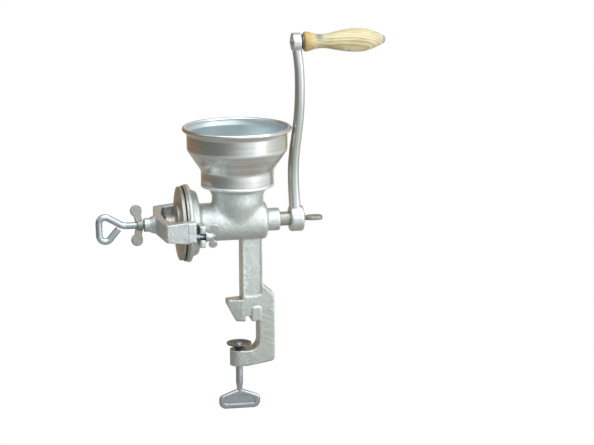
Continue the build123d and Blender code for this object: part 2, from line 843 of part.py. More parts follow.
def make_clamp_screw():
    """Clamp screw: riveted neck for the pad, threaded rod and a flat bordered key."""
    floor = pad_rim_height - pad_dish
    shoulder = floor - pad_neck_length - running_gap
    key_top = key_bottom + key_height
    rod = turned_on_z(
        [
            (0, floor + 2.2),
            (clamp_rivet_radius - 1.4, floor + 1.9),
            (clamp_rivet_radius, floor + 0.6),
            (clamp_rivet_radius, floor + running_gap),
            (clamp_neck_radius, floor + running_gap),
            (clamp_neck_radius, shoulder),
            (clamp_rod_radius, shoulder),
            (clamp_rod_radius, key_top + 9.0),
            (clamp_rod_foot_radius, key_top + 2.0),
            (clamp_rod_foot_radius, key_top - key_border),
            (0, key_top - key_border),
        ],
    )
    half = key_width / 2
    points = [
        (-half, key_bottom),
        (half, key_bottom),
        (half, key_bottom + key_height * 0.66),
        (clamp_rod_foot_radius + 1.0, key_top),
        (-clamp_rod_foot_radius - 1.0, key_top),
        (-half, key_bottom + key_height * 0.66),
    ]
    key_outline = outline(points, [(0, 8.0), (1, 8.0), (2, 6.0), (5, 6.0)])
    key = side_plate(key_outline, key_thickness)
    key = soften(key, key_thickness * 0.42, lambda edge: abs(edge.center().Y) > key_thickness / 2 - 0.01)
    pocket = outline(
        [
            (-half + key_border, key_bottom + key_border),
            (half - key_border, key_bottom + key_border),
            (half - key_border - 1, key_bottom + key_height * 0.60),
            (5.0, key_top - key_border - 0.4),
            (-5.0, key_top - key_border - 0.4),
            (-half + key_border + 1, key_bottom + key_height * 0.60),
        ],
        [(0, 3.0), (1, 3.0), (2, 3.0), (3, 4.0), (4, 4.0), (5, 3.0)],
    )
    for side in (-1, 1):
        offset = side * (key_web / 2 + key_thickness / 2)
        key -= Pos(0, offset, 0) * side_plate(pocket, key_thickness)
    return rod + key


# ---- every node, in its place ------------------------------------------------------------
on_shaft = {
    "hopper": make_hopper(),
    "auger": make_auger(),
    "plate_carrier": make_carrier(),
    "crank_arm": make_crank_arm(),
    "crank_screw": make_crank_screw(),
    "handle_pin": Pos(0, 0, crank_throw) * make_handle_pin(),
    "handle_grip": Pos(0, 0, crank_throw) * make_grip(),
    "bridge": make_bridge(),
    "bridge_stud_front": make_stud(-1),
    "bridge_stud_rear": make_stud(1),
    "washer_front": make_washer(-1),
    "washer_rear": make_washer(1),
    "adjusting_screw": make_adjusting_screw(),
    "thrust_ball": ball_on_x(ball_x, ball_radius),
}

# the plates face each other; the fixed one is turned round
turning_place = Pos(turning_back, 0, 0)
on_shaft["turning_plate"] = turning_place * make_plate(
    turning_plate_thickness, turning_plate_radius, tenon_width * 0.8, turning_screw_circle, 0.0)
turning_screw = make_plate_screw(turning_plate_thickness, -carrier_flange)
on_shaft["turning_plate_screws"] = Compound(
    children=[turning_place * place * turning_screw for place in plate_screw_places(turning_screw_circle)])

fixed_place = Pos(recess_floor, 0, 0) * Rot(0, 0, 180)
on_shaft["fixed_plate"] = fixed_place * make_plate(
    fixed_plate_thickness, fixed_plate_radius, barrel_bore_radius, fixed_screw_circle, 0.5)
fixed_screw = make_plate_screw(fixed_plate_thickness, -5.0)
on_shaft["fixed_plate_screws"] = Compound(
    children=[fixed_place * place * fixed_screw for place in plate_screw_places(fixed_screw_circle)])

washer = rod_on_x(washer_start, grip_start - face_gap, 8.6)
on_shaft["handle_washer"] = Pos(0, 0, crank_throw) * (washer - rod_on_x(60, 100, handle_pin_radius + loose_gap))

small_nut = make_wing_nut(small_wing, stud_radius + running_gap)
for name, side_sign, rest_turn in (("wing_nut_front", -1, 28), ("wing_nut_rear", 1, 65)):
    on_shaft[name] = Pos(nut_base, side_sign * stud_y, -stud_drop) * Rot(rest_turn, 0, 0) * small_nut
lock_nut = make_wing_nut(large_wing, rod_radius + running_gap)
on_shaft["lock_wing_nut"] = Pos(lock_nut_right, 0, 0) * Rot(-13, 0, 0) * Rot(0, 0, 180) * lock_nut

parts = {name: piece.moved(shaft_lift) for name, piece in on_shaft.items()}
parts["mill_casting"] = make_casting()
parts["clamp_pad"] = make_pad()
parts["clamp_screw"] = make_clamp_screw()

os.makedirs("parts", exist_ok=True)
for name, piece in parts.items():
    export_step(piece, f"parts/{name}.step")
    print(name, round(piece.volume), piece.bounding_box())
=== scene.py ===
import math

import bmesh
import bpy
from mathutils import Matrix, Vector


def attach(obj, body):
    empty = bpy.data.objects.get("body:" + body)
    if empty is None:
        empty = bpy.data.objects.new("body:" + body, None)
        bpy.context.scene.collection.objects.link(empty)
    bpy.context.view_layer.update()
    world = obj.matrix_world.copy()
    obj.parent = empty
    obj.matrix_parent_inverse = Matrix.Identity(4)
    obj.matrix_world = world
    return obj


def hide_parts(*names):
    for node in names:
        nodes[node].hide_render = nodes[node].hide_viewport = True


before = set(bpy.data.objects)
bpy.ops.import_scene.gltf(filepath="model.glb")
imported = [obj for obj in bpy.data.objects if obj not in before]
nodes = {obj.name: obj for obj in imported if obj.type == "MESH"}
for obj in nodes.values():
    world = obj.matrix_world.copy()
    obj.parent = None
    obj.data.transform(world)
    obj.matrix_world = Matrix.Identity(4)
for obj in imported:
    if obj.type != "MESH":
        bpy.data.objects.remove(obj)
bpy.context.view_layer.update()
print("frame loaded with", len(nodes), "nodes")

mm = 0.001
shaftHeight = 0.1185    # the shaft's axis over the jaw's underside


def place(tree, kind, values=None, **settings):
    # a node with its settings, and its input values by name or number
    node = tree.nodes.new(kind)
    for key, value in settings.items():
        setattr(node, key, value)
    for key, value in (values or {}).items():
        node.inputs[key].default_value = value
    return node


def link(tree, source, target):
    tree.links.new(source, target)


def mathStep(tree, operation, first, second=None, third=None, clamp=False):
    # first, second and third are sockets or plain numbers
    node = tree.nodes.new("ShaderNodeMath")
    node.operation = operation
    node.use_clamp = clamp
    for index, value in enumerate((first, second, third)):
        if value is None:
            continue
        if isinstance(value, (int, float)):
            node.inputs[index].default_value = value
        else:
            link(tree, value, node.inputs[index])
    return node.outputs[0]


def rampStep(tree, source, low, high, lowValue=0.0, highValue=1.0):
    node = place(tree, "ShaderNodeMapRange", {1: low, 2: high, 3: lowValue, 4: highValue})
    link(tree, source, node.inputs[0])
    return node.outputs[0]


def mixColors(tree, factor, first, second):
    # factor is a socket or a number, first and second are sockets or (red, green, blue)
    node = place(tree, "ShaderNodeMix", data_type="RGBA")
    sockets = (node.inputs[0], node.inputs[6], node.inputs[7])
    for socket, value in zip(sockets, (factor, first, second)):
        if isinstance(value, (int, float)):
            socket.default_value = value
        elif isinstance(value, tuple):
            socket.default_value = (*value, 1.0)
        else:
            link(tree, value, socket)
    return node.outputs[2]


def splitPlace(tree, where):
    node = tree.nodes.new("ShaderNodeSeparateXYZ")
    link(tree, where, node.inputs[0])
    return node.outputs


def vectorStep(tree, operation, first, second, output=0):
    # first and second are sockets or (x, y, z)
    node = place(tree, "ShaderNodeVectorMath", operation=operation)
    for index, value in enumerate((first, second)):
        if isinstance(value, tuple):
            node.inputs[index].default_value = value
        else:
            link(tree, value, node.inputs[index])
    return node.outputs[output]


def noiseStep(tree, where, **settings):
    # settings are the texture's own values, such as Scale, Detail and Roughness
    node = place(tree, "ShaderNodeTexNoise", settings)
    link(tree, where, node.inputs["Vector"])
    return node.outputs["Fac"]


def newGroup(name, inputs, outputs):
    # inputs are (name, kind, value), outputs are (name, kind)
    group = bpy.data.node_groups.new(name, "ShaderNodeTree")
    for label, kind, value in inputs:
        socket = group.interface.new_socket(name=label, in_out="INPUT", socket_type="NodeSocket" + kind)
        if value is not None:
            socket.default_value = value
    for label, kind in outputs:
        group.interface.new_socket(name=label, in_out="OUTPUT", socket_type="NodeSocket" + kind)
    return group, group.nodes.new("NodeGroupInput"), group.nodes.new("NodeGroupOutput")


def useGroup(tree, group, where, values):
    # a shared effect at this place on the surface, with the material's own values
    node = place(tree, "ShaderNodeGroup", node_tree=group)
    for key, value in values.items():
        node.inputs[key].default_value = value
    link(tree, where, node.inputs["Place"])
    return node


def newMaterial(name, color, metallic, roughness):
    material = bpy.data.materials.new(name)
    material.use_nodes = True
    material.diffuse_color = (*color, 1.0)
    tree = material.node_tree
    shader = tree.nodes["Principled BSDF"]
    shader.inputs["Base Color"].default_value = (*color, 1.0)
    shader.inputs["Metallic"].default_value = metallic
    shader.inputs["Roughness"].default_value = roughness
    return material, tree, shader


def bumpInto(tree, shader, height, strength, distance, normal=None):
    bump = place(tree, "ShaderNodeBump", {"Strength": strength, "Distance": distance})
    link(tree, height, bump.inputs["Height"])
    if normal is not None:
        link(tree, normal, bump.inputs["Normal"])
    link(tree, bump.outputs[0], shader.inputs["Normal"])


def makeSandSkin():
    # the skin that a sand mould leaves: fine grain, small pits, a mottle and broad soft blotches
    group, source, result = newGroup(
        "sandSkin",
        [("Place", "Vector", None), ("Grain Size", "Float", 900.0), ("Pit Share", "Float", 0.35)],
        [("Height", "Float"), ("Blotch", "Float"), ("Mottle", "Float"), ("Pit", "Float")])
    where = source.outputs["Place"]
    grain = place(group, "ShaderNodeTexNoise", {"Detail": 5.0, "Roughness": 0.62})
    link(group, where, grain.inputs["Vector"])
    link(group, source.outputs["Grain Size"], grain.inputs["Scale"])
    swell = noiseStep(group, where, Scale=130.0, Detail=3.0)
    pits = place(group, "ShaderNodeTexVoronoi", {"Scale": 420.0, "Randomness": 1.0})
    link(group, where, pits.inputs["Vector"])
    pitCore = rampStep(group, pits.outputs["Distance"], 0.05, 0.30, 1.0, 0.0)
    pitMask = mathStep(group, "MULTIPLY", pitCore, rampStep(group, swell, 0.50, 0.62), clamp=True)
    pitMask = mathStep(group, "MULTIPLY", pitMask, source.outputs["Pit Share"], clamp=True)
    broad = noiseStep(group, where, Scale=26.0, Detail=4.0, Roughness=0.6)
    mottle = noiseStep(group, where, Scale=330.0, Detail=5.0, Roughness=0.72)
    height = mathStep(group, "MULTIPLY_ADD", swell, 1.6, grain.outputs["Fac"])
    height = mathStep(group, "SUBTRACT", height, pitMask)
    height = mathStep(group, "MULTIPLY_ADD", mottle, 1.8, height)
    link(group, height, result.inputs["Height"])
    link(group, rampStep(group, broad, 0.36, 0.66), result.inputs["Blotch"])
    link(group, rampStep(group, mottle, 0.38, 0.64), result.inputs["Mottle"])
    link(group, pitMask, result.inputs["Pit"])
    return group


def makeSpunLines():
    # fine rings left by spinning, round the Z axis, and wider soft bands
    group, source, result = newGroup(
        "spunLines", [("Place", "Vector", None), ("Lines", "Float", 1500.0)],
        [("Height", "Float"), ("Band", "Float")])
    x, y, z = splitPlace(group, source.outputs["Place"])
    squares = mathStep(group, "MULTIPLY_ADD", x, x, mathStep(group, "MULTIPLY", y, y))
    radius = mathStep(group, "SQRT", squares)
    along = mathStep(group, "MULTIPLY_ADD", radius, 0.35, z)
    fineSpace = group.nodes.new("ShaderNodeCombineXYZ")
    link(group, mathStep(group, "MULTIPLY", x, 3.0), fineSpace.inputs[0])
    link(group, mathStep(group, "MULTIPLY", y, 3.0), fineSpace.inputs[1])
    link(group, mathStep(group, "MULTIPLY", along, source.outputs["Lines"]), fineSpace.inputs[2])
    wideSpace = group.nodes.new("ShaderNodeCombineXYZ")
    link(group, mathStep(group, "MULTIPLY", x, 6.0), wideSpace.inputs[0])
    link(group, mathStep(group, "MULTIPLY", along, 150.0), wideSpace.inputs[2])
    fine = noiseStep(group, fineSpace.outputs[0], Scale=1.0, Detail=3.0, Roughness=0.7)
    band = noiseStep(group, wideSpace.outputs[0], Scale=1.0, Detail=4.0)
    link(group, fine, result.inputs["Height"])
    link(group, rampStep(group, band, 0.34, 0.66), result.inputs["Band"])
    return group


def makeDrawnStreaks():
    # long fine streaks along the direction in which the metal was drawn or polished
    group, source, result = newGroup(
        "drawnStreaks", [("Place", "Vector", None), ("Stretch", "Vector", (60.0, 1800.0, 1800.0))],
        [("Height", "Float"), ("Cloud", "Float")])
    stretched = vectorStep(group, "MULTIPLY", source.outputs["Place"], source.outputs["Stretch"])
    streak = noiseStep(group, stretched, Scale=1.0, Detail=3.0, Roughness=0.6)
    cloud = noiseStep(group, source.outputs["Place"], Scale=75.0, Detail=4.0)
    link(group, streak, result.inputs["Height"])
    link(group, rampStep(group, cloud, 0.35, 0.65), result.inputs["Cloud"])
    return group


def makeScrewThread():
    # a helical groove round an axis along X, between two stations
    group, source, result = newGroup(
        "screwThread",
        [("Place", "Vector", None), ("Pitch", "Float", 0.00125), ("Start", "Float", 0.0),
         ("End", "Float", 0.1)],
        [("Height", "Float"), ("Mask", "Float")])
    x, y, z = splitPlace(group, source.outputs["Place"])
    turns = mathStep(group, "DIVIDE", x, source.outputs["Pitch"])
    phase = mathStep(group, "MULTIPLY_ADD", mathStep(group, "ARCTAN2", z, y), -1.0 / math.tau, turns)
    mask = mathStep(group, "MULTIPLY", mathStep(group, "GREATER_THAN", x, source.outputs["Start"]),
                    mathStep(group, "LESS_THAN", x, source.outputs["End"]))
    height = mathStep(group, "MULTIPLY", mathStep(group, "PINGPONG", phase, 0.5), mask)
    link(group, height, result.inputs["Height"])
    link(group, mask, result.inputs["Mask"])
    return group


def makeTurnedWood():
    # long grain with growth rings, for wood turned round an axis along X
    group, source, result = newGroup(
        "turnedWood", [("Place", "Vector", None), ("Ring Size", "Float", 260.0)],
        [("Ring", "Float"), ("Fibre", "Float"), ("Figure", "Float")])
    where = source.outputs["Place"]
    bend = place(group, "ShaderNodeTexNoise", {"Scale": 14.0, "Detail": 2.0})
    link(group, where, bend.inputs["Vector"])
    pushed = vectorStep(group, "MULTIPLY", bend.outputs["Color"], (0.010, 0.010, 0.010))
    moved = vectorStep(group, "ADD", where, pushed)
    rings = place(group, "ShaderNodeTexWave", {"Distortion": 2.2, "Detail": 3.0, "Detail Scale": 1.2},
                  wave_type="BANDS", bands_direction="DIAGONAL", wave_profile="SAW")
    link(group, vectorStep(group, "MULTIPLY", moved, (0.10, 1.0, 1.0)), rings.inputs["Vector"])
    link(group, source.outputs["Ring Size"], rings.inputs["Scale"])
    fibreSpace = vectorStep(group, "MULTIPLY", moved, (45.0, 750.0, 750.0))
    figureSpace = vectorStep(group, "MULTIPLY", moved, (28.0, 90.0, 90.0))
    fibre = noiseStep(group, fibreSpace, Scale=1.0, Detail=4.0, Roughness=0.65)
    figure = noiseStep(group, figureSpace, Scale=1.0, Detail=3.0)
    link(group, rings.outputs["Fac"], result.inputs["Ring"])
    link(group, fibre, result.inputs["Fibre"])
    link(group, rampStep(group, figure, 0.40, 0.66), result.inputs["Figure"])
    return group


def makeEdgeWearAndShade():
    # a softened normal, where handling has rubbed the edges, and the sheltered corners, which hold dirt and
    # carry painted shade
    group, source, result = newGroup(
        "edgeWearAndShade",
        [("Place", "Vector", None), ("Width", "Float", 0.001), ("Amount", "Float", 0.5),
         ("Shelter", "Float", 0.008)],
        [("Soft Normal", "Vector"), ("Rubbed", "Float"), ("Corner Dirt And Shade", "Float")])
    soft = place(group, "ShaderNodeBevel", samples=8)
    link(group, source.outputs["Width"], soft.inputs["Radius"])
    trueNormal = group.nodes.new("ShaderNodeNewGeometry").outputs["Normal"]
    agree = vectorStep(group, "DOT_PRODUCT", soft.outputs[0], trueNormal, "Value")
    breakUp = noiseStep(group, source.outputs["Place"], Scale=160.0, Detail=4.0)
    rubbed = mathStep(group, "MULTIPLY", rampStep(group, agree, 0.99, 0.90),
                      rampStep(group, breakUp, 0.30, 0.60))
    rubbed = mathStep(group, "MULTIPLY", rubbed, source.outputs["Amount"], clamp=True)
    # painted shade with dirt: ambient occlusion finds the sheltered corners, which are darkened
    shelter = place(group, "ShaderNodeAmbientOcclusion", samples=8)
    link(group, source.outputs["Shelter"], shelter.inputs["Distance"])
    link(group, soft.outputs[0], result.inputs["Soft Normal"])
    link(group, rubbed, result.inputs["Rubbed"])
    link(group, rampStep(group, shelter.outputs["AO"], 0.78, 0.25), result.inputs["Corner Dirt And Shade"])
    return group


def makeHeightShade():
    # painted shade along Z, darker towards the bottom: it grows between the first two heights and fades out
    # between the "Again" heights
    group, source, result = newGroup(
        "heightShade",
        [("Place", "Vector", None), ("Shade Start", "Float", 0.1), ("Shade Full", "Float", 0.0), ("Share", "Float", 0.5),
         ("Again Low", "Float", -1.0), ("Again High", "Float", -0.9)],
        [("Fade", "Float")])
    height = splitPlace(group, source.outputs["Place"])[2]
    ramps = []
    for low, high, top in (("Shade Start", "Shade Full", "Share"), ("Again Low", "Again High", None)):
        ramp = place(group, "ShaderNodeMapRange")
        link(group, height, ramp.inputs[0])
        link(group, source.outputs[low], ramp.inputs[1])
        link(group, source.outputs[high], ramp.inputs[2])
        if top:
            link(group, source.outputs[top], ramp.inputs[4])
        ramps.append(ramp.outputs[0])
    link(group, mathStep(group, "MULTIPLY", *ramps), result.inputs["Fade"])
    return group


sandSkin = makeSandSkin()
spunLines = makeSpunLines()
drawnStreaks = makeDrawnStreaks()
screwThread = makeScrewThread()
turnedWood = makeTurnedWood()
edgeWearAndShade = makeEdgeWearAndShade()
heightShade = makeHeightShade()
print("shared effects ready")


def objectPlace(tree):
    return tree.nodes.new("ShaderNodeTexCoord").outputs["Object"]


def castFinish(name, look):
    # tinned iron casting: a soft metal sheen over the sand skin
    material, tree, shader = newMaterial(name, look["color"], look["metal"], look["rough"])
    where = objectPlace(tree)
    skin = useGroup(tree, sandSkin, where, {"Grain Size": look["grain"], "Pit Share": look["pits"]})
    wearAndShade = useGroup(tree, edgeWearAndShade, where, {
        "Width": look["soften"], "Amount": look["rub"], "Shelter": 0.008})
    if "blend" in look:
        # the neck runs into the barrel with a broad soft fillet
        blend = look["blend"]
        near = vectorStep(tree, "DISTANCE", where, blend["centre"], "Value")
        width = rampStep(tree, near, *blend["reach"], blend["width"], look["soften"])
        link(tree, width, wearAndShade.inputs["Width"])
        link(tree, rampStep(tree, near, *blend["reach"], 0.0, look["rub"]), wearAndShade.inputs["Amount"])
    mottle = mathStep(tree, "MULTIPLY", skin.outputs["Mottle"], look["mottle"])
    color = mixColors(tree, skin.outputs["Blotch"], look["color"], look["blotchAndReflection"])
    color = mixColors(tree, mottle, color, look["bright"])
    # painted shade: the piece grows darker towards the bottom
    if "paintedShade" in look:
        paintedShade = look["paintedShade"]
        shadeFull = useGroup(tree, heightShade, where, {
            "Shade Start": paintedShade["shadeStart"], "Shade Full": paintedShade["shadeFull"], "Share": paintedShade["share"],
            "Again Low": paintedShade["again"][0], "Again High": paintedShade["again"][1]})
        color = mixColors(tree, shadeFull.outputs["Fade"], color, paintedShade["color"])
    # painted shade with dirt: the sheltered corners are darkened
    cornerDirtAndShade = mathStep(tree, "MULTIPLY", wearAndShade.outputs["Corner Dirt And Shade"], look["cornerDirtAndShade"])
    color = mixColors(tree, cornerDirtAndShade, color, look["dirtAndShade"])
    color = mixColors(tree, skin.outputs["Pit"], color, look["dirtAndShade"])
    color = mixColors(tree, wearAndShade.outputs["Rubbed"], color, look["bright"])
    if "seat" in look:
        # painted highlight: a bright band on the rim that the hopper stands in
        seat = look["seat"]
        height = splitPlace(tree, where)[2]
        seatHighlight = mathStep(tree, "MULTIPLY", rampStep(tree, height, seat["low"], seat["low"] + 0.001),
                          rampStep(tree, height, seat["high"], seat["high"] - 0.0004))
        color = mixColors(tree, seatHighlight, color, seat["color"])
    link(tree, color, shader.inputs["Base Color"])
    rough = rampStep(tree, skin.outputs["Blotch"], 0.0, 1.0, look["rough"] - 0.05, look["rough"] + 0.07)
    rough = mathStep(tree, "MULTIPLY_ADD", mottle, -0.12, rough)
    rough = mathStep(tree, "MULTIPLY_ADD", wearAndShade.outputs["Rubbed"], -0.10, rough)
    link(tree, rough, shader.inputs["Roughness"])
    bumpInto(tree, shader, skin.outputs["Height"], look["bump"], 0.0005, wearAndShade.outputs["Soft Normal"])
    return material


def drawnFinish(name, look, stretch=(60.0, 1800.0, 1800.0), thread=None):
    # plated or polished steel, with a rolled thread where one is given
    material, tree, shader = newMaterial(name, look["color"], look["metal"], look["rough"])
    where = objectPlace(tree)
    streaks = useGroup(tree, drawnStreaks, where, {"Stretch": stretch})
    wearAndShade = useGroup(tree, edgeWearAndShade, where, {"Width": look["soften"], "Amount": 0.5, "Shelter": 0.004})
    color = mixColors(tree, streaks.outputs["Cloud"], look["color"], look["cloud"])
    # painted shade with dirt: the sheltered corners are darkened
    cornerDirtAndShade = mathStep(tree, "MULTIPLY", wearAndShade.outputs["Corner Dirt And Shade"], look["cornerDirtAndShade"])
    color = mixColors(tree, cornerDirtAndShade, color, look["dirtAndShade"])
    color = mixColors(tree, wearAndShade.outputs["Rubbed"], color, look["bright"])
    height = streaks.outputs["Height"]
    depth = 0.00004
    if thread:
        space = vectorStep(tree, "SUBTRACT", where, thread["centre"])
        if thread["axis"] == "Z":
            turned = place(tree, "ShaderNodeVectorRotate", {"Angle": math.pi / 2}, rotation_type="Y_AXIS")
            link(tree, space, turned.inputs["Vector"])
            space = turned.outputs[0]
        ridge = useGroup(tree, screwThread, space, {
            "Pitch": thread["pitch"], "Start": thread["start"], "End": thread["end"]})
        # painted shade: the thread is only a bump, so its grooves are darkened
        low = rampStep(tree, ridge.outputs["Height"], 0.0, 0.30, 1.0, 0.0)
        grooveShade = mathStep(tree, "MULTIPLY", low, ridge.outputs["Mask"])
        color = mixColors(tree, mathStep(tree, "MULTIPLY", grooveShade, 0.75), color, look["dirtAndShade"])
        height = mathStep(tree, "MULTIPLY", height, 0.2)
        height = mathStep(tree, "MULTIPLY_ADD", ridge.outputs["Height"], 5.0, height)
        depth = 0.00012
    link(tree, color, shader.inputs["Base Color"])
    rough = rampStep(tree, streaks.outputs["Cloud"], 0.0, 1.0, look["rough"] - 0.05, look["rough"] + 0.08)
    link(tree, rough, shader.inputs["Roughness"])
    bumpInto(tree, shader, height, 0.5, depth, wearAndShade.outputs["Soft Normal"])
    return material


def spunFinish(name, look):
    # sheet steel spun on a lathe and tinned, duller inside than out, with painted reflections: warm brown
    # patches and a bluer inside
    material, tree, shader = newMaterial(name, look["color"], look["metal"], look["rough"])
    where = objectPlace(tree)
    lines = useGroup(tree, spunLines, where, {"Lines": look["lines"]})
    skin = useGroup(tree, sandSkin, where, {"Grain Size": 300.0, "Pit Share": 0.0})
    # painted reflection: broad warm brown patches, as of a brown thing mirrored in the metal
    stainAndReflection = mathStep(tree, "MULTIPLY", skin.outputs["Blotch"], look["stainAndReflection"])
    color = mixColors(tree, lines.outputs["Band"], look["color"], look["band"])
    color = mixColors(tree, stainAndReflection, color, look["blotchAndReflection"])
    # the normal points away from the axis outside, and towards it inside
    outward = vectorStep(tree, "MULTIPLY", where, (1.0, 1.0, 0.0))
    normal = tree.nodes.new("ShaderNodeNewGeometry").outputs["Normal"]
    inside = rampStep(tree, vectorStep(tree, "DOT_PRODUCT", outward, normal, "Value"), 0.004, -0.012)
    # painted reflection: the inside gets a cooler, bluer tone
    color = mixColors(tree, inside, color, look["inner"])
    link(tree, color, shader.inputs["Base Color"])
    rough = rampStep(tree, lines.outputs["Band"], 0.0, 1.0, look["rough"] - 0.05, look["rough"] + 0.06)
    rough = mathStep(tree, "MULTIPLY_ADD", inside, look["innerRough"], rough)
    link(tree, rough, shader.inputs["Roughness"])
    shader.inputs["Anisotropic"].default_value = 0.45
    height = mathStep(tree, "MULTIPLY_ADD", lines.outputs["Band"], 1.5, lines.outputs["Height"])
    bumpInto(tree, shader, height, 0.16, 0.00008)
    return material


# the dirt colour also darkens sheltered corners as painted shade
castLook = dict(color=(0.67, 0.72, 0.71), blotchAndReflection=(0.54, 0.57, 0.54), dirtAndShade=(0.20, 0.18, 0.13),
                bright=(0.88, 0.91, 0.91), metal=0.85, rough=0.34, grain=1000.0, pits=0.6, mottle=0.52,
                cornerDirtAndShade=0.75, rub=0.8, bump=0.75, soften=0.0022)
castIron = castFinish("tinnedCasting", dict(
    castLook, soften=0.0032,
    # painted highlight: a bright band on the hopper's seat
    seat=dict(low=0.1600, high=0.1655, color=(0.95, 0.97, 0.97)),
    blend=dict(centre=(0.0, -0.016, 0.127), reach=(0.024, 0.040), width=0.0095),
    # painted shade: darker towards the bottom
    paintedShade=dict(shadeStart=0.085, shadeFull=-0.005, again=(-1.0, -0.9), share=0.62, color=(0.46, 0.49, 0.43))))
bridgeIron = castFinish("bridgeCasting", dict(
    castLook, color=(0.60, 0.65, 0.64), blotchAndReflection=(0.48, 0.51, 0.50), soften=0.0014))
nutIron = castFinish("nutCasting", dict(
    castLook, color=(0.31, 0.33, 0.29), blotchAndReflection=(0.24, 0.25, 0.21), bright=(0.50, 0.51, 0.47),
    rough=0.44, soften=0.0008, bump=0.30))
paleNut = castFinish("paleNutCasting", dict(
    castLook, color=(0.68, 0.71, 0.72), blotchAndReflection=(0.54, 0.56, 0.57), soften=0.0006, bump=0.25))
plateIron = castFinish("chilledPlate", dict(
    castLook, color=(0.46, 0.44, 0.41), blotchAndReflection=(0.36, 0.33, 0.29), bright=(0.62, 0.61, 0.59),
    rough=0.42, soften=0.0003, bump=0.22))
crankSteel = castFinish("tinnedForging", dict(
    castLook, color=(0.70, 0.72, 0.73), blotchAndReflection=(0.62, 0.63, 0.63), metal=0.93, rough=0.33, grain=300.0,
    pits=0.0, mottle=0.08, rub=0.0, bump=0.015, soften=0.0024,
    # painted shade: darker down the arm, lighter again towards the hub
    paintedShade=dict(shadeStart=0.305, shadeFull=0.225, again=(0.135, 0.185), share=0.90, color=(0.38, 0.40, 0.36))))

# the dirt colour also darkens thread grooves and corners as painted shade
zincLook = dict(color=(0.58, 0.64, 0.68), cloud=(0.48, 0.54, 0.58), dirtAndShade=(0.14, 0.15, 0.16),
                bright=(0.80, 0.84, 0.87), metal=0.95, rough=0.30, cornerDirtAndShade=0.7, soften=0.0006)
adjusterThread = dict(axis="X", centre=(0.0, 0.0, shaftHeight), pitch=0.00125, start=-0.131, end=-0.080)
clampThread = dict(axis="Z", centre=(0.0, 0.0, 0.0), pitch=0.00125, start=-0.0765, end=-0.034)
zincPlain = drawnFinish("brightZinc", zincLook)
zincDull = drawnFinish("dullZinc", dict(
    zincLook, color=(0.26, 0.26, 0.25), cloud=(0.20, 0.20, 0.19), bright=(0.40, 0.40, 0.39)))
zincAdjuster = drawnFinish("adjusterZinc", zincLook, thread=adjusterThread)
zincClamp = drawnFinish("clampZinc", dict(
    zincLook, color=(0.52, 0.57, 0.60), cloud=(0.43, 0.47, 0.50), soften=0.0012),
    stretch=(1800.0, 1800.0, 60.0), thread=clampThread)
padSteel = drawnFinish("padSteel", dict(
    zincLook, color=(0.26, 0.27, 0.27), cloud=(0.18, 0.18, 0.18), bright=(0.45, 0.46, 0.46), rough=0.36),
    stretch=(900.0, 900.0, 900.0))
ballSteel = drawnFinish("ballSteel", dict(
    zincLook, color=(0.72, 0.72, 0.73), cloud=(0.68, 0.68, 0.69), rough=0.12),
    stretch=(500.0, 500.0, 500.0))
hopperSteel = spunFinish("spunHopper", dict(
    # painted reflection: the warm brown patches
    color=(0.76, 0.79, 0.79), band=(0.59, 0.60, 0.59), blotchAndReflection=(0.60, 0.51, 0.40), stainAndReflection=0.36,
    # painted reflection: the bluer inside
    inner=(0.66, 0.735, 0.755), innerRough=0.13, metal=0.96, rough=0.24, lines=2600.0))


def studFinish(name, y):
    # the studs stand a little under the shaft, one at each side
    return drawnFinish(name, zincLook, thread=dict(
        axis="X", centre=(0.0, y, shaftHeight - 0.0049), pitch=0.0010, start=-0.0575, end=-0.030))


def woodFinish(name, look):
    # clear-lacquered turned wood, darker at its collar, greyer at its tip, and with painted shade at its
    # waist
    material, tree, shader = newMaterial(name, look["pale"], 0.0, look["rough"])
    where = objectPlace(tree)
    wood = useGroup(tree, turnedWood, where, {"Ring Size": look["rings"]})
    ring, fibre = wood.outputs["Ring"], wood.outputs["Fibre"]
    stainAndReflection = rampStep(tree, ring, 0.0, 1.0, 0.35, 1.0)
    stainAndReflection = mathStep(tree, "MULTIPLY", wood.outputs["Figure"], stainAndReflection)
    along = splitPlace(tree, where)[0]
    # painted shade: the narrow waist is darkened grey
    waistShade = mathStep(tree, "MULTIPLY", rampStep(tree, along, *look["waistStart"]),
                     rampStep(tree, along, *look["waistEnd"]))
    knotAway = vectorStep(tree, "DISTANCE", where, look["knotPlace"], "Value")
    color = mixColors(tree, rampStep(tree, ring, 0.10, 0.95, 0.0, 0.95), look["pale"], look["honey"])
    layers = (
        (stainAndReflection, 0.60, "brown"),
        (rampStep(tree, fibre, 0.50, 0.70), 0.50, "brown"),
        (rampStep(tree, along, *look["collar"], 1.0, 0.0), 0.82, "burnt"),
        (waistShade, 0.40, "waistShade"),
        (rampStep(tree, along, *look["tip"]), 0.65, "grey"),
        (rampStep(tree, knotAway, *look["knotSize"], 1.0, 0.0), 0.85, "knot"))
    for mask, share, tone in layers:
        color = mixColors(tree, mathStep(tree, "MULTIPLY", mask, share), color, look[tone])
    link(tree, color, shader.inputs["Base Color"])
    shader.inputs["Coat Weight"].default_value = 0.55
    shader.inputs["Coat Roughness"].default_value = 0.16
    shader.inputs["Specular IOR Level"].default_value = 0.45
    rough = rampStep(tree, fibre, 0.3, 0.7, look["rough"] - 0.05, look["rough"] + 0.10)
    link(tree, rough, shader.inputs["Roughness"])
    bumpInto(tree, shader, fibre, 0.25, 0.00012)
    return material


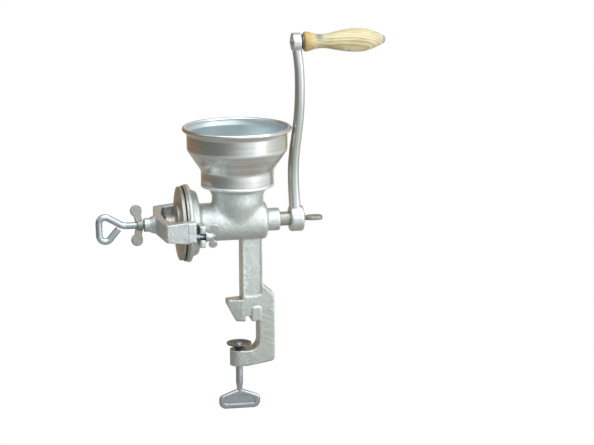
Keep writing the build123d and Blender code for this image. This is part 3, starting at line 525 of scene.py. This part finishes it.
paleWood = woodFinish("lacqueredWood", dict(
    pale=(0.75, 0.70, 0.47), honey=(0.50, 0.38, 0.14), brown=(0.30, 0.20, 0.06), burnt=(0.44, 0.27, 0.06),
    # painted shade at the waist
    waistShade=(0.42, 0.40, 0.31), grey=(0.46, 0.44, 0.38), knot=(0.16, 0.12, 0.08), rough=0.42, rings=150.0,
    collar=(0.084, 0.096), waistStart=(0.088, 0.095), waistEnd=(0.112, 0.101), tip=(0.160, 0.173),
    knotPlace=(0.0962, -0.0056, 0.3325), knotSize=(0.0016, 0.0064)))
print("finishes ready")


def roundedLine(corners, steps=7):
    # corners are (a, b, radius); gives the points of the line with those corners rounded
    points = []
    for index, (a, b, radius) in enumerate(corners):
        here = Vector((a, b))
        if radius <= 0 or index in (0, len(corners) - 1):
            points.append(here)
            continue
        before = Vector(corners[index - 1][:2]) - here
        after = Vector(corners[index + 1][:2]) - here
        half = before.angle(after) / 2
        reach = min(radius / math.tan(half), before.length * 0.49, after.length * 0.49)
        size = reach * math.tan(half)
        centre = here + (before.normalized() + after.normalized()).normalized() * (size / math.sin(half))
        first = here + before.normalized() * reach - centre
        last = here + after.normalized() * reach - centre
        sweep = first.angle_signed(last)
        for step in range(steps + 1):
            points.append(centre + Matrix.Rotation(-sweep * step / steps, 2) @ first)
    return points


def smoothLine(knots, steps=8):
    # a soft curve through the knots, for hand-turned shapes
    points = []
    for index in range(len(knots) - 1):
        p0 = Vector(knots[max(index - 1, 0)])
        p1 = Vector(knots[index])
        p2 = Vector(knots[index + 1])
        p3 = Vector(knots[min(index + 2, len(knots) - 1)])
        for step in range(steps):
            t = step / steps
            points.append(0.5 * ((2 * p1) + (p2 - p0) * t + (2 * p0 - 5 * p1 + 4 * p2 - p3) * t * t
                                 + (3 * p1 - p0 - 3 * p2 + p3) * t * t * t))
    points.append(Vector(knots[-1]))
    return points


def turnedPiece(name, line, axis, centre, material, segments):
    # line is a closed loop of (along, radius) points in mm, turned round an axis through the centre
    vertices, faces = [], []
    count = len(line)
    for turn in range(segments):
        angle = math.tau * turn / segments
        for along, radius in line:
            around = (radius * mm * math.cos(angle), radius * mm * math.sin(angle))
            point = (along * mm, *around) if axis == "X" else (*around, along * mm)
            vertices.append(tuple(a + b for a, b in zip(point, centre)))
    for turn in range(segments):
        nextTurn = (turn + 1) % segments
        for index in range(count):
            nextIndex = (index + 1) % count
            faces.append((turn * count + index, nextTurn * count + index,
                          nextTurn * count + nextIndex, turn * count + nextIndex))
    mesh = bpy.data.meshes.new(name)
    mesh.from_pydata(vertices, [], faces)
    mesh.validate()
    mesh.update()
    piece = bpy.data.objects.new(name, mesh)
    bpy.context.collection.objects.link(piece)
    work = bmesh.new()
    work.from_mesh(mesh)
    bmesh.ops.recalc_face_normals(work, faces=work.faces)
    work.to_mesh(mesh)
    work.free()
    mesh.shade_smooth()
    mesh.set_sharp_from_angle(angle=math.radians(38))
    mesh.materials.append(material)
    return piece


# millimetres: seat, foot, top and height are measured up from the shaft, beadTurn is in degrees
hopperSizes = dict(seat=45.8, spigot=38.1, spigotFoot=42.2, neck=42.3, neckTop=61.0, body=58.3,
                   bodyFoot=85.0, bodyTop=103.0, wall=1.2, beadRadius=2.5, beadAcross=61.1,
                   beadHeight=109.3, beadTurn=(196, -104), beadSteps=24)


def makeHopperShell():
    # up the inside, over the rolled bead, and down the outside
    h = hopperSizes
    inner = h["wall"]
    inside = roundedLine([
        (h["spigot"] - inner, h["spigotFoot"], 0), (h["spigot"] - inner, h["seat"] + inner, 0.6),
        (h["neck"] - inner, h["seat"] + inner, 1.2), (h["neck"] - inner, h["neckTop"], 10.2),
        (h["body"] - inner, h["bodyFoot"], 7.8), (h["body"] - inner, h["bodyTop"] + 0.4, 5.0),
        (h["beadAcross"] - h["beadRadius"] + 0.1, h["beadHeight"] - 0.8, 0)])
    bead = []
    first, last = h["beadTurn"]
    for step in range(h["beadSteps"] + 1):
        angle = math.radians(first + (last - first) * step / h["beadSteps"])
        bead.append(Vector((h["beadAcross"] + h["beadRadius"] * math.cos(angle),
                            h["beadHeight"] + h["beadRadius"] * math.sin(angle))))
    outside = roundedLine([
        (h["beadAcross"] - 0.9, h["beadHeight"] - h["beadRadius"] - 0.2, 0), (h["body"], h["bodyTop"], 4.0),
        (h["body"], h["bodyFoot"], 9.0), (h["neck"], h["neckTop"], 9.0),
        (h["neck"], h["seat"], 0.5), (h["spigot"], h["seat"], 0.3), (h["spigot"], h["spigotFoot"], 0)])
    line = [(point[1], point[0]) for point in inside + bead + outside]
    return turnedPiece("hopperShell", line, "Z", (0, 0, shaftHeight), hopperSteel, 192)


hopperShell = makeHopperShell()
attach(hopperShell, "hopper")
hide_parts("hopper")
print("hopper turned")

# millimetres: knots are (distance from the grip's start, radius)
gripSizes = dict(start=78.5, length=94.4, bore=3.08, throw=207.4, knots=(
    (0.3, 10.4), (2.2, 11.6), (6.0, 11.2), (10.0, 10.0), (15.0, 8.8), (20.0, 8.3), (27.0, 8.6),
    (38.0, 10.7), (50.0, 12.9), (62.0, 13.7), (73.0, 13.0), (82.0, 10.4), (90.0, 7.0), (94.0, 4.9)))


def makeGripWood():
    # from the bore's edge over the turned outside to the tip, and back through the bore
    g = gripSizes
    start, end = g["start"], g["start"] + g["length"]
    outer = smoothLine([(start + along, radius) for along, radius in g["knots"]])
    ends = [Vector(point) for point in ((start, 9.4), (end, 4.2), (end, g["bore"]), (start, g["bore"]))]
    line = [ends[0], *outer, *ends[1:]]
    return turnedPiece("gripWood", line, "X", (0, 0, shaftHeight + g["throw"] * mm), paleWood, 96)


gripWood = makeGripWood()
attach(gripWood, "grip")
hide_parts("handle_grip")
print("grip turned")


nodeFinishes = dict(
    mill_casting=castIron, bridge=bridgeIron, fixed_plate=plateIron, turning_plate=plateIron,
    plate_carrier=plateIron, auger=plateIron, crank_arm=crankSteel, adjusting_screw=zincAdjuster,
    bridge_stud_front=studFinish("studZincFront", -0.0515),
    bridge_stud_rear=studFinish("studZincRear", 0.0515),
    washer_front=zincPlain, washer_rear=zincPlain, crank_screw=nutIron, handle_pin=zincPlain,
    handle_washer=zincDull, fixed_plate_screws=zincPlain, turning_plate_screws=zincPlain,
    clamp_screw=zincClamp, wing_nut_front=paleNut, wing_nut_rear=paleNut, lock_wing_nut=nutIron,
    clamp_pad=padSteel, thrust_ball=ballSteel)
for nodeName, finish in nodeFinishes.items():
    materials = nodes[nodeName].data.materials
    materials.clear()
    materials.append(finish)
print("node finishes set")


# metres; the paper shows white to the eye, and the other tones are what the metal mirrors
studio = dict(floor=-0.150, halfWidth=6.0, ahead=6.0, behind=1.6, bend=1.2, top=5.0, bendSteps=12,
              sideRange=(-0.9, 0.5), depthRange=(0.0, 1.2), nearRange=(0.20, 0.90), paper=(1.0, 1.0, 1.0),
              near=(0.36, 0.34, 0.31), front=(0.86, 0.88, 0.88), left=(0.21, 0.205, 0.18),
              brown=(0.42, 0.26, 0.15), warm=(0.86, 0.72, 0.56), airLeft=(0.19, 0.185, 0.165),
              airRight=(0.88, 0.91, 0.91), airAbove=(0.86, 0.95, 1.0), airStrength=0.85)


def mixShaders(tree, factor, first, second):
    node = tree.nodes.new("ShaderNodeMixShader")
    for index, socket in enumerate((factor, first, second)):
        link(tree, socket, node.inputs[index])
    return node.outputs[0]


def makePaperSweep():
    # a pale floor that curves up into a back wall
    s = studio
    line = [(y, s["floor"]) for y in (-s["ahead"], -s["ahead"] / 2, 0.0, s["behind"])]
    for step in range(1, s["bendSteps"] + 1):
        angle = math.pi / 2 * step / s["bendSteps"]
        line.append((s["behind"] + s["bend"] * math.sin(angle),
                     s["floor"] + s["bend"] * (1 - math.cos(angle))))
    line.append((s["behind"] + s["bend"], s["top"]))
    vertices = [(x, y, z) for x in (-s["halfWidth"], s["halfWidth"]) for y, z in line]
    count = len(line)
    faces = [(index, count + index, count + index + 1, index + 1) for index in range(count - 1)]
    mesh = bpy.data.meshes.new("paperSweep")
    mesh.from_pydata(vertices, [], faces)
    mesh.shade_smooth()
    sweep = bpy.data.objects.new("paperSweep", mesh)
    bpy.context.collection.objects.link(sweep)
    material, tree, shader = newMaterial("palePaper", s["front"], 0.0, 0.9)
    where = objectPlace(tree)
    x, y, z = splitPlace(tree, where)
    side = rampStep(tree, x, *s["sideRange"])
    ahead = mixColors(tree, side, s["left"], s["front"])
    behind = mixColors(tree, side, s["brown"], s["warm"])
    around = mixColors(tree, rampStep(tree, y, *s["depthRange"]), ahead, behind)
    away = vectorStep(tree, "DISTANCE", where, (0.0, 0.0, s["floor"]), "Value")
    tone = mixColors(tree, rampStep(tree, away, *s["nearRange"]), s["near"], around)
    link(tree, tone, shader.inputs["Base Color"])
    bumpInto(tree, shader, noiseStep(tree, where, Scale=300.0, Detail=3.0), 0.05, 0.0002)
    # lit paper for the eye, the room's own tones for what the metal mirrors
    glow = place(tree, "ShaderNodeEmission", {"Color": (*s["paper"], 1.0), "Strength": 1.0})
    cameraRay = tree.nodes.new("ShaderNodeLightPath").outputs["Is Camera Ray"]
    seen = mixShaders(tree, cameraRay, shader.outputs[0], glow.outputs[0])
    # the eye looks through the sheet from behind and below, so it never hides the mill
    backfacing = tree.nodes.new("ShaderNodeNewGeometry").outputs["Backfacing"]
    clear = tree.nodes.new("ShaderNodeBsdfTransparent").outputs[0]
    openBack = mixShaders(tree, mathStep(tree, "MULTIPLY", cameraRay, backfacing), seen, clear)
    link(tree, openBack, tree.nodes["Material Output"].inputs["Surface"])
    mesh.materials.append(material)
    return sweep


makePaperSweep()


# metres and watts; every box is turned to the mill's middle
middle = (0.03, 0.0, 0.13)
softBoxes = (
    dict(name="topBox", position=(0.2, -0.5, 1.5), size=(2.0, 1.3), power=18.0, color=(0.95, 0.99, 1.0)),
    dict(name="rightBox", position=(1.3, -1.2, 0.6), size=(0.6, 1.5), power=10.0, color=(1.0, 0.99, 0.97)),
    dict(name="frontBox", position=(0.3, -2.6, 0.9), size=(1.6, 1.0), power=6.5, color=(0.95, 0.99, 1.0)))


def addSoftBox(box):
    data = bpy.data.lights.new(box["name"], "AREA")
    data.shape = "RECTANGLE"
    data.size, data.size_y = box["size"]
    data.energy = box["power"]
    data.color = box["color"]
    lamp = bpy.data.objects.new(box["name"], data)
    lamp.location = box["position"]
    away = Vector(box["position"]) - Vector(middle)
    lamp.rotation_euler = away.to_track_quat("Z", "Y").to_euler()
    bpy.context.collection.objects.link(lamp)


for box in softBoxes:
    addSoftBox(box)


def makeAir():
    # soft air from all round, darker and warmer at the left, and plain white to the eye
    world = bpy.data.worlds.new("studioAir")
    bpy.context.scene.world = world
    world.use_nodes = True
    air = world.node_tree
    x, y, z = splitPlace(air, air.nodes.new("ShaderNodeTexCoord").outputs["Generated"])
    acrossAir = rampStep(air, x, -0.75, 0.35)
    upAir = rampStep(air, z, 0.05, 0.65)
    sideways = mixColors(air, acrossAir, studio["airLeft"], studio["airRight"])
    overhead = mixColors(air, upAir, sideways, studio["airAbove"])
    background = air.nodes["Background"]
    link(air, overhead, background.inputs["Color"])
    background.inputs["Strength"].default_value = studio["airStrength"]
    plainWhite = place(air, "ShaderNodeBackground", {"Color": (*studio["paper"], 1.0), "Strength": 1.0})
    cameraRay = air.nodes.new("ShaderNodeLightPath").outputs["Is Camera Ray"]
    beyond = mixShaders(air, cameraRay, background.outputs[0], plainWhite.outputs[0])
    link(air, beyond, air.nodes["World Output"].inputs["Surface"])


makeAir()

# degrees and metres; focal is in picture widths, nudge brings the middle onto the photograph's
view = dict(azimuth=-11.0, elevation=12.4, roll=0.3, distance=2.808, target=(0.070774, 0.0, 0.112417),
            focal=2400.0 / 594.0, nudge=0.000585)


def setCamera():
    # the axes of a camera that looks along +Y at azimuth 0, rolled a little
    turn, lift, roll = (math.radians(view[key]) for key in ("azimuth", "elevation", "roll"))
    back = Vector((math.sin(turn) * math.cos(lift), -math.cos(turn) * math.cos(lift), math.sin(lift)))
    right = Vector((math.cos(turn), math.sin(turn), 0.0))
    up = back.cross(right)
    rolledRight = right * math.cos(roll) - up * math.sin(roll)
    rolledUp = up * math.cos(roll) + right * math.sin(roll)
    spot = Vector(view["target"]) + back * view["distance"]
    spot += (rolledUp - rolledRight) * view["nudge"]
    data = bpy.data.cameras.new("photoCamera")
    data.sensor_width = 36.0
    data.lens = 36.0 * view["focal"]
    data.clip_end = 30.0
    camera = bpy.data.objects.new("photoCamera", data)
    axes = Matrix((rolledRight, rolledUp, back)).transposed()
    camera.matrix_world = Matrix.Translation(spot) @ axes.to_4x4()
    bpy.context.collection.objects.link(camera)
    bpy.context.scene.camera = camera


setCamera()
bpy.context.scene.view_settings.view_transform = "Standard"
print("studio ready")
